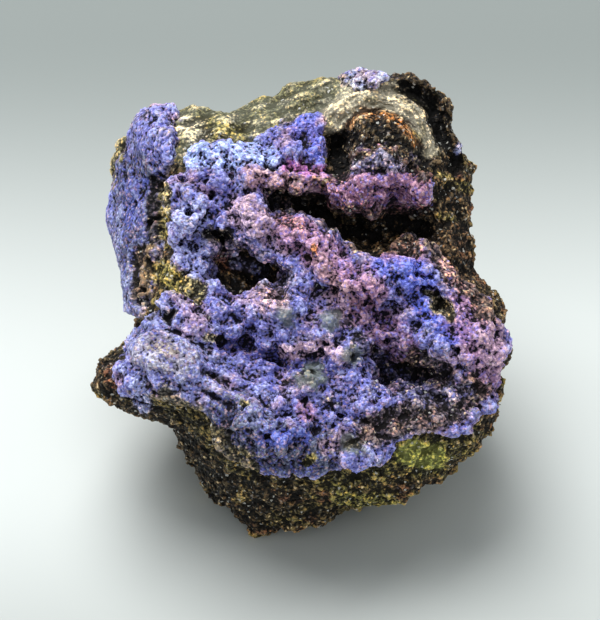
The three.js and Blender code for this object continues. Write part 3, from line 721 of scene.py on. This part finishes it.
class Socket:
    """An output of a material's node. Arithmetic on it adds Math nodes."""

    def __init__(self, finish, output):
        self.finish = finish
        self.output = output

    def math(self, operation, first, second=0.0):
        return self.finish.node("ShaderNodeMath", {"operation": operation}, {0: first, 1: second})

    def __add__(self, other):
        return self.math("ADD", self, other)

    def __radd__(self, other):
        return self.math("ADD", other, self)

    def __sub__(self, other):
        return self.math("SUBTRACT", self, other)

    def __rsub__(self, other):
        return self.math("SUBTRACT", other, self)

    def __mul__(self, other):
        return self.math("MULTIPLY", self, other)

    def __rmul__(self, other):
        return self.math("MULTIPLY", other, self)


class Finish:
    """A material under construction."""

    def __init__(self, name):
        self.material = bpy.data.materials.new(name)
        self.material.use_nodes = True
        self.tree = self.material.node_tree
        self.tree.nodes.clear()

    def node(self, kind, settings=None, sockets=None, output=0):
        """Adds a node, sets its settings first and then its sockets' values or links."""
        node = self.tree.nodes.new(kind)
        for name, value in (settings or {}).items():
            setattr(node, name, value)
        for name, value in (sockets or {}).items():
            if isinstance(value, Socket):
                self.tree.links.new(value.output, node.inputs[name])
            else:
                node.inputs[name].default_value = value
        return Socket(self, node.outputs[output]) if node.outputs else None

    def other(self, socket, name):
        """Another output of the node that a socket belongs to."""
        return Socket(self, socket.output.node.outputs[name])

    def attribute(self, name, output="Fac"):
        return self.node("ShaderNodeAttribute", {"attribute_name": name}, output=output)

    def place(self):
        return self.node("ShaderNodeTexCoord", output="Object")

    def noise(self, size, detail=3.0, shift=0.0):
        """Noise of a grain size in mm, 0 to 1."""
        vector = self.node(
            "ShaderNodeVectorMath", {"operation": "ADD"}, {0: self.place(), 1: (shift, shift, shift)}
        )
        return self.node(
            "ShaderNodeTexNoise", None, {"Vector": vector, "Scale": 1 / (size * MM), "Detail": detail}
        )

    def cells(self, size, warp):
        """Distance to the middle of the nearest grain, for grains of a size in mm that are warped by
        an amount in mm. The node's Color is one random colour for each grain."""
        drift = self.other(self.noise(1.6 * size, 1.0, 0.11 * size), "Color")
        moved = self.node(
            "ShaderNodeVectorMath", {"operation": "MULTIPLY_ADD"},
            {0: drift, 1: (warp * MM,) * 3, 2: self.place()},
        )
        return self.node("ShaderNodeTexVoronoi", None, {"Vector": moved, "Scale": 1 / (size * MM)})

    def ramp(self, value, low, high, top=1.0):
        """0 below one value, the top above another, smooth between."""
        return self.node(
            "ShaderNodeMapRange",
            {"interpolation_type": "SMOOTHSTEP"},
            {"Value": value, "From Min": low, "From Max": high, "To Max": top},
        )

    def mix(self, factor, first, second):
        """Mixes two colours."""
        first = first if isinstance(first, Socket) else (*first, 1.0)
        second = second if isinstance(second, Socket) else (*second, 1.0)
        return self.node(
            "ShaderNodeMix", {"data_type": "RGBA"}, {0: factor, 6: first, 7: second}, output=2
        )

    def scaled(self, colour, factors, added=(0.0, 0.0, 0.0)):
        """A colour with each channel multiplied and added to."""
        return self.node(
            "ShaderNodeVectorMath", {"operation": "MULTIPLY_ADD"}, {0: colour, 1: factors, 2: added}
        )

    def bump(self, height, strength, distance):
        return self.node(
            "ShaderNodeBump", None, {"Height": height, "Strength": strength, "Distance": distance * MM},
            output="Normal",
        )


def mineral_finish(name):
    """Dark broken rock where the chalk attribute is 0 and a crust of minute spherules where it is 1, with
    painted shade in its hollows and between its grains, painted highlights on its crests and painted glints.
    """
    finish = Finish(name)
    tint = finish.attribute("tint", "Color")
    chalk = finish.attribute("chalk")
    glass = finish.attribute("glass")
    dip = finish.attribute("dip")
    grain = finish.cells(GRAIN_SIZE, GRAIN_WARP)
    first = finish.node("ShaderNodeSeparateColor", None, {0: finish.other(grain, "Color")})
    second = finish.other(first, "Green")
    third = finish.other(first, "Blue")
    speckle = finish.noise(SPECKLE_SIZE, 4.0)
    # Painted light: the level is low in the hollows and between the grains and high on the crests, and sets
    # the painted shade and painted highlights below
    relief = 0.4 * finish.attribute("height") + 0.6 * finish.attribute("hollow") + 0.7 * dip
    level = relief + 2.2 * (0.45 - grain) + 12.0 * (speckle - 0.5)

    mixed = finish.mix(finish.ramp(first, 0.74, 0.86, 0.45), tint, SALMON)
    mixed = finish.mix(finish.ramp(second, 0.72, 0.84, 0.50), mixed, BLUE_GRAIN)
    mixed = finish.mix(finish.ramp(third, 0.86, 0.94, 0.60), mixed, DARK_GRAIN)
    # Painted shade darkens the crust towards near black in its hollows and gaps; painted highlights pale its
    # crests
    crust_shaded = finish.mix(finish.ramp(level, -2.3, -0.1), CRUST_SHADE, mixed)
    crust_highlights = finish.scaled(mixed, (1.85, 1.85, 1.55), (0.095, 0.10, 0.115))
    crust = finish.mix(finish.ramp(level, 0.7, 2.6), crust_shaded, crust_highlights)

    copper = finish.scaled(tint, (2.6, 2.1, 1.7), (0.025, 0.013, 0.006))
    rock = finish.mix(finish.ramp(first, 0.72, 0.84, 0.65), tint, copper)
    rock = finish.mix(finish.ramp(second, 0.92, 0.97, 0.6), rock, TAN_GRAIN)
    rock = finish.mix(finish.ramp(third, 0.90, 0.96, 0.5), rock, STEEL_GRAIN)
    # Painted shade darkens the rock in its hollows and gaps; painted highlights pale its crests
    gap = finish.scaled(tint, (0.08, 0.07, 0.06))
    rock_shaded = finish.mix(finish.ramp(level, -1.0, 1.0), gap, rock)
    rock_highlights = finish.scaled(rock, (3.6, 3.2, 2.5), (0.045, 0.038, 0.022))
    rock = finish.mix(finish.ramp(level, 0.9, 2.6), rock_shaded, rock_highlights)

    chalky = finish.ramp(chalk + 0.8 * (third - 0.5), 0.40, 0.60)
    colour = finish.mix(chalky, rock, crust)
    colour = finish.mix(0.75 * glass, colour, finish.scaled(tint, (1.3, 1.3, 1.3)))
    # Painted glints: a few tiny grains painted near white as glinting crystal faces, with less roughness
    fine = finish.other(finish.cells(GLINT_SIZE, GLINT_WARP), "Color")
    fine = finish.node("ShaderNodeSeparateColor", None, {0: fine})
    glint = finish.ramp(fine, 0.986, 0.992) * (1 - 0.7 * chalk)
    colour = finish.mix(0.7 * glint, colour, GLINT)
    roughness = 0.72 + 0.2 * chalk - 0.45 * glint - 0.45 * glass
    normal = finish.bump(0.4 * (1 - grain) + 1.6 * speckle, 0.8, BUMP_HEIGHT)
    shader = finish.node(
        "ShaderNodeBsdfPrincipled", None,
        {"Base Color": colour, "Roughness": roughness, "Normal": normal, "Specular IOR Level": 0.28},
    )
    finish.node("ShaderNodeOutputMaterial", None, {"Surface": shader})
    return finish.material


class RockSettings(bpy.types.PropertyGroup):
    """Sizes of the rock's surface."""

    mesh_size: FloatProperty(
        name="Mesh size", description="Width of the rock's mesh faces", default=0.30 * MM,
        unit="LENGTH", subtype="DISTANCE", precision=5,
    )
    lump_height: FloatProperty(
        name="Lump height", description="Height of its lumps of 3 mm and less, in mm", default=0.9
    )
    grain_height: FloatProperty(
        name="Grain height", description="Height of its grains of half a millimetre, in mm", default=0.40
    )
    bed_depth: FloatProperty(
        name="Bed depth", description="How far the rock lies lower under the crusts, in mm", default=0.35
    )


class CrustSettings(bpy.types.PropertyGroup):
    """Sizes of the crusts' surface."""

    mesh_size: FloatProperty(
        name="Mesh size", description="Width of the crusts' mesh faces", default=0.12 * MM,
        unit="LENGTH", subtype="DISTANCE", precision=5,
    )
    lump_height: FloatProperty(
        name="Lump height", description="Height of the lumps of 1 to 2 mm, in mm", default=0.55
    )
    spherule_height: FloatProperty(
        name="Spherule height", description="Height of the single spherules, in mm", default=0.12
    )


class StageSettings(bpy.types.PropertyGroup):
    """The camera, the lights and the floor."""

    camera_distance: FloatProperty(
        name="Camera distance", description="From the camera to the specimen's middle", default=0.5,
        unit="LENGTH", subtype="DISTANCE",
    )
    key_power: FloatProperty(
        name="Key light", description="Power of the soft light overhead", default=2.3, unit="POWER"
    )
    fill_power: FloatProperty(
        name="Fill light", description="Power of the soft light in front", default=0.4, unit="POWER"
    )
    floor_colour: FloatVectorProperty(
        name="Floor", description="Colour of the floor", default=(0.70, 0.74, 0.72), size=3,
        subtype="COLOR", min=0, max=1,
    )


def choose_faces(piece, chosen):
    """Selects a piece's faces by a flag for each, and opens it in edit mode."""
    select_only(piece)
    for elements in (piece.data.vertices, piece.data.edges):
        elements.foreach_set("select", np.zeros(len(elements), bool))
    piece.data.polygons.foreach_set("select", chosen)
    bpy.ops.object.mode_set(mode="EDIT")
    bpy.ops.mesh.select_mode(type="FACE")


def drop_specks(piece):
    """Removes the loose specks of a piece: all its parts but the largest."""
    ends = np.empty(2 * len(piece.data.edges), np.int32)
    piece.data.edges.foreach_get("vertices", ends)
    first, second = ends.reshape(-1, 2).T
    part = np.arange(len(piece.data.vertices))
    settled = False
    while not settled:
        joined = part.copy()
        least = np.minimum(part[first], part[second])
        for side in (first, second, part[first], part[second]):
            np.minimum.at(joined, side, least)
        joined = joined[joined]
        settled = bool((joined == part).all())
        part = joined
    specks = part != np.bincount(part).argmax()
    if specks.any():
        choose_faces(piece, np.array([specks[face.vertices[0]] for face in piece.data.polygons]))
        bpy.ops.mesh.delete(type="VERT")
        bpy.ops.object.mode_set(mode="OBJECT")


class SPECIMEN_OT_rock(bpy.types.Operator):
    """Makes the rock from the frame's matrix"""

    bl_idname = "specimen.rock"
    bl_label = "Rock"

    def execute(self, context):
        settings = context.scene.specimen_rock
        crusts = tree_of_crusts()
        rock = merged_copy("matrix", "rock")
        apply_modifier(rock, "SUBSURF", levels=1, render_levels=1)
        remesh(rock, settings.mesh_size)
        apply_modifier(rock, "SMOOTH", factor=0.5, iterations=4)
        cover = cover_of(crusts, rock)
        group = weigh(rock, "covered", cover)
        apply_modifier(
            rock, "DISPLACE", strength=-settings.bed_depth * MM, mid_level=0.0, vertex_group=group
        )
        group = weigh(rock, "bare", 1 - cover)
        lumps = texture_of("VORONOI", 3.0, distance_metric="MANHATTAN", noise_intensity=0.9)
        roughen(rock, lumps, -settings.lump_height, group, middle=0.45)
        ledges = texture_of("CLOUDS", 1.5, noise_depth=3, noise_type="HARD_NOISE")
        roughen(rock, ledges, settings.lump_height, group, middle=0.35)
        rock.vertex_groups.clear()
        shape_display_side(rock, smoothstep(-0.45, 0.15, normals_of(rock) @ TOWARDS))
        remesh(rock, settings.mesh_size)
        away = distance_to(crusts, points_of(rock))
        normals = np.empty(3 * len(rock.data.polygons))
        rock.data.polygons.foreach_get("normal", normals)
        facing = normals.reshape(-1, 3) @ TOWARDS > -0.05
        shown = np.array([away[list(face.vertices)].max() > 0.6 for face in rock.data.polygons])
        choose_faces(rock, facing & shown)
        bpy.ops.mesh.subdivide(number_cuts=1)
        bpy.ops.object.mode_set(mode="OBJECT")
        striae, plain = striae_of(display_places(points_of(rock)))
        group = weigh(rock, "bare", (1 - 0.7 * plain) * (1 - 0.8 * cover_of(crusts, rock)))
        chunks = texture_of("VORONOI", 0.9, distance_metric="MANHATTAN", noise_intensity=1.0)
        roughen(rock, chunks, -0.8 * settings.grain_height, group)
        crumbs = texture_of("CLOUDS", 0.5, noise_depth=3, noise_type="HARD_NOISE")
        roughen(rock, crumbs, settings.grain_height, group, middle=0.4)
        rock.vertex_groups.clear()
        group = weigh(rock, "striae", np.clip(striae, 0, 1) * plain)
        apply_modifier(rock, "DISPLACE", strength=0.12 * MM, mid_level=0.0, vertex_group=group)
        rock.vertex_groups.clear()
        choose_faces(rock, np.ones(len(rock.data.polygons), bool))
        bpy.ops.mesh.bisect(
            plane_co=(0, 0, 0), plane_no=(0, 0, 1), use_fill=True, clear_inner=True, threshold=1e-6
        )
        bpy.ops.object.mode_set(mode="OBJECT")
        thin(rock)
        store_relief(rock, ROCK_ROUNDS)
        self.paint(rock, crusts)
        rock.data.materials.append(mineral_finish("broken rock"))
        select_only(rock)
        bpy.ops.object.shade_flat()
        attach(rock, "root")
        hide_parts("matrix")
        return {"FINISHED"}

    def paint(self, rock, crusts):
        paint = Paint(rock, BROWN, 0.0, 3.0)
        paint.drifts(ROCK_DRIFTS)
        visible = smoothstep(-0.25, 0.15, normals_of(rock) @ TOWARDS)
        away = distance_to(crusts, paint.points)
        away += 0.35 * noise_at(paint.points, 0.7, 76.0, 3)
        near = 0.8 * (1 - smoothstep(0.25, 0.50, away))
        places = display_places(paint.points)
        streaks = lined_noise(places, ROCK_STREAKS, STREAK_GRAIN, STREAK_SEED, 3)
        paint.lay(0.6 * smoothstep(0.05, 0.5, streaks), OLIVE, 0.0)
        paint.lay(0.7 * smoothstep(0.05, 0.5, -streaks), DARK_BROWN, 0.0)
        paint.patches(ROCK_PATCHES, visible)
        striae, plain = striae_of(places)
        paint.lay(0.35 * visible * plain * smoothstep(0.2, 0.9, striae), CREAM, 0.0)
        paint.lay(0.45 * visible * plain * smoothstep(0.2, 0.9, -striae), OLIVE, 0.0)
        paint.lay(near, VIOLET, 1.0)
        paint.patches(CRUST_PATCHES, visible * near)
        paint.patches(SHARED_PATCHES, visible)
        paint.keep()


def height_above(rock, points):
    """How high each point is over the rock, in mm, and the rock's outward direction there."""
    tree = BVHTree.FromObject(rock, bpy.context.evaluated_depsgraph_get())
    heights = np.empty(len(points))
    outwards = np.empty((len(points), 3))
    for i, point in enumerate(points):
        nearest, outward, _, _ = tree.find_nearest(Vector(point))
        heights[i] = (Vector(point) - nearest).dot(outward) / MM
        outwards[i] = outward
    return heights, outwards


def grow_crust(node, name, base, relief, press, settings, seed):
    """Makes one crust from its frame node. Its relief is a share of the usual lump height, and its
    press says how far it is flattened onto the rock."""
    rock = bpy.data.objects["rock"]
    crust = merged_copy(node, name)
    apply_modifier(crust, "SUBSURF", levels=2, render_levels=2)
    remesh(crust, 1.25 * settings.mesh_size)
    apply_modifier(crust, "SMOOTH", factor=0.5, iterations=3)
    shape_display_side(crust, np.ones(len(crust.data.vertices)))
    points = points_of(crust)
    heights, outwards = height_above(rock, points)
    upper = smoothstep(-0.2, 0.25, np.einsum("ij,ij->i", outwards, normals_of(crust)))
    free = smoothstep(0.4, 0.9, heights + 0.45 * noise_at(points, 0.8, seed, 3)) * upper
    thinned = 1 - smoothstep(*THIN_REACH, path_distance(display_places(points), THIN_CRUST))
    under = weigh(crust, "under", 1 - (1 - np.maximum(press, THIN_PRESS * thinned)) * free)
    apply_modifier(
        crust, "SHRINKWRAP", target=rock, wrap_method="NEAREST_SURFACEPOINT",
        wrap_mode="ABOVE_SURFACE", offset=-0.35 * MM, vertex_group=under,
    )
    _, calm = flow_of(display_places(points_of(crust)))
    group = weigh(crust, "free", free * (1 - 0.65 * calm))
    lumps = texture_of("CLOUDS", 1.5, noise_depth=4)
    roughen(crust, lumps, 4.5 * relief * settings.lump_height, group)
    knobs = texture_of("VORONOI", 1.2, distance_metric="DISTANCE_SQUARED", noise_intensity=1.4)
    roughen(crust, knobs, -0.7 * relief * settings.lump_height, group)
    remesh(crust, settings.mesh_size)
    drop_specks(crust)
    points = points_of(crust)
    heights, _ = height_above(rock, points)
    _, calm = flow_of(display_places(points))
    free = smoothstep(-0.4, 0.0, heights)
    group = weigh(crust, "free", free * (1 - 0.5 * calm))
    crumbs = texture_of("CLOUDS", 0.4, noise_depth=2)
    roughen(crust, crumbs, 2.2 * settings.spherule_height, group)
    spherules = texture_of("VORONOI", 0.26, distance_metric="DISTANCE_SQUARED", noise_intensity=1.6)
    roughen(crust, spherules, -0.7 * settings.spherule_height, group)
    buried = free < 0.01
    group = weigh(crust, "buried", buried.astype(float))
    apply_modifier(crust, "DECIMATE", ratio=1 - 0.92 * float(buried.mean()), vertex_group=group)
    thin(crust)
    store_relief(crust, CRUST_ROUNDS)
    paint = Paint(crust, base, 1.0, seed)
    paint.drifts(CRUST_DRIFTS)
    paint.patches(CRUST_PATCHES, 1.0)
    lines, calm = flow_of(display_places(paint.points))
    paint.lay(0.2 * calm * smoothstep(0.05, 0.5, lines), ICE, 1.0)
    paint.lay(0.7 * calm * smoothstep(0.0, 0.5, -lines), SLATE, 1.0)
    heights, _ = height_above(rock, paint.points)
    rim = 1 - smoothstep(0.1, 0.6, heights + 0.45 * noise_at(paint.points, 0.6, seed + 70, 3))
    paint.lay(0.75 * rim, DARK_OLIVE, 0.0)
    paint.patches(SHARED_PATCHES, 1.0)
    paint.keep()
    crust.vertex_groups.clear()
    crust.data.materials.append(bpy.data.materials.get("chalky crust") or mineral_finish("chalky crust"))
    select_only(crust)
    bpy.ops.object.shade_flat()
    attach(crust, "root")
    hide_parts(node)


# Each crust's node, piece, material slot, colour, share of the lump height, press and seed
CRUSTS = [
    ("strengite_front_crust", "front_crust", "strengite", VIOLET, 1.0, 0.0, 11.0),
    ("strengite_ledge_crust", "ledge_crust", "pink_strengite", DUSKY_PINK, 1.3, 0.0, 17.0),
    ("strengite_left_crust", "left_crust", "strengite", VIOLET, 0.8, 0.0, 23.0),
    ("strengite_top_patch", "top_patch", "strengite", ICE, 0.5, 0.5, 29.0),
]


class SPECIMEN_OT_crusts(bpy.types.Operator):
    """Makes the four crusts on the rock"""

    bl_idname = "specimen.crusts"
    bl_label = "Crusts"

    def execute(self, context):
        for node, name, slot, base, relief, press, seed in CRUSTS:
            grow_crust(node, name, base, relief, press, context.scene.specimen_crust, seed)
        return {"FINISHED"}


def soft_light(name, power, size, place):
    """A square soft light at a place, aimed at the specimen's middle."""
    light = bpy.data.lights.new(name, "AREA")
    light.energy = power
    light.size = size
    lamp = bpy.data.objects.new(name, light)
    bpy.context.scene.collection.objects.link(lamp)
    lamp.location = place
    lamp.rotation_euler = (DISPLAY_MIDDLE - Vector(place)).to_track_quat("-Z", "Y").to_euler()


class SPECIMEN_OT_stage(bpy.types.Operator):
    """Makes the floor, the lights and the camera"""

    bl_idname = "specimen.stage"
    bl_label = "Stage"

    def execute(self, context):
        settings = context.scene.specimen_stage
        scene = context.scene
        for other in context.view_layer.objects:
            other.select_set(False)
        bpy.ops.mesh.primitive_plane_add(size=4)
        floor = context.object
        floor.name = "floor"
        finish = Finish("pale floor")
        depth = finish.node("ShaderNodeSeparateXYZ", None, {0: finish.place()}, output="Y")
        # Painted shade: the floor darker in front of the specimen and far behind it
        colour = finish.mix(finish.ramp(depth, *NEAR_CHANGE), FRONT_FLOOR_SHADE, settings.floor_colour)
        colour = finish.mix(finish.ramp(depth, *FAR_CHANGE), colour, FAR_FLOOR_SHADE)
        shader = finish.node("ShaderNodeBsdfPrincipled", None, {"Base Color": colour, "Roughness": 0.7})
        finish.node("ShaderNodeOutputMaterial", None, {"Surface": shader})
        floor.data.materials.append(finish.material)
        soft_light("key light", settings.key_power, KEY_SIZE, KEY_PLACE)
        soft_light("fill light", settings.fill_power, FILL_SIZE, FILL_PLACE)
        world = bpy.data.worlds.new("studio")
        world.use_nodes = True
        room = world.node_tree.nodes["Background"].inputs
        room["Color"].default_value = ROOM_COLOUR
        room["Strength"].default_value = ROOM_STRENGTH
        scene.world = world
        scene.view_settings.view_transform = "Standard"
        camera = bpy.data.cameras.new("camera")
        camera.sensor_width = 36
        camera.lens = 36 * settings.camera_distance / (IMAGE_SIZE[1] / PIXELS_PER_MM * MM)
        camera.clip_start = 0.05
        camera.clip_end = 20
        viewer = bpy.data.objects.new("camera", camera)
        scene.collection.objects.link(viewer)
        viewer.location = DISPLAY_MIDDLE + settings.camera_distance * Vector(TOWARDS)
        viewer.rotation_euler = (math.pi / 2 - DISPLAY_ANGLE, 0, 0)
        scene.camera = viewer
        return {"FINISHED"}


class SPECIMEN_PT_panel(bpy.types.Panel):
    """The specimen's operators and settings"""

    bl_idname = "SPECIMEN_PT_panel"
    bl_label = "Specimen"
    bl_space_type = "VIEW_3D"
    bl_region_type = "UI"
    bl_category = "Specimen"

    def draw(self, context):
        scene = context.scene
        for operator, settings in ((SPECIMEN_OT_stage, scene.specimen_stage),
                                   (SPECIMEN_OT_rock, scene.specimen_rock),
                                   (SPECIMEN_OT_crusts, scene.specimen_crust)):
            column = self.layout.column()
            column.operator(operator.bl_idname)
            for name in settings.__annotations__:
                column.prop(settings, name)


SETTINGS = {
    "specimen_rock": RockSettings,
    "specimen_crust": CrustSettings,
    "specimen_stage": StageSettings,
}
CLASSES = (
    *SETTINGS.values(), SPECIMEN_OT_stage, SPECIMEN_OT_rock, SPECIMEN_OT_crusts, SPECIMEN_PT_panel,
)


def register():
    for cls in CLASSES:
        bpy.utils.register_class(cls)
    for name, group in SETTINGS.items():
        setattr(bpy.types.Scene, name, PointerProperty(type=group))


def unregister():
    for name in SETTINGS:
        delattr(bpy.types.Scene, name)
    for cls in reversed(CLASSES):
        bpy.utils.unregister_class(cls)


def main():
    register()
    bpy.ops.specimen.stage()
    bpy.ops.specimen.rock()
    bpy.ops.specimen.crusts()


if __name__ == "__main__":
    main()
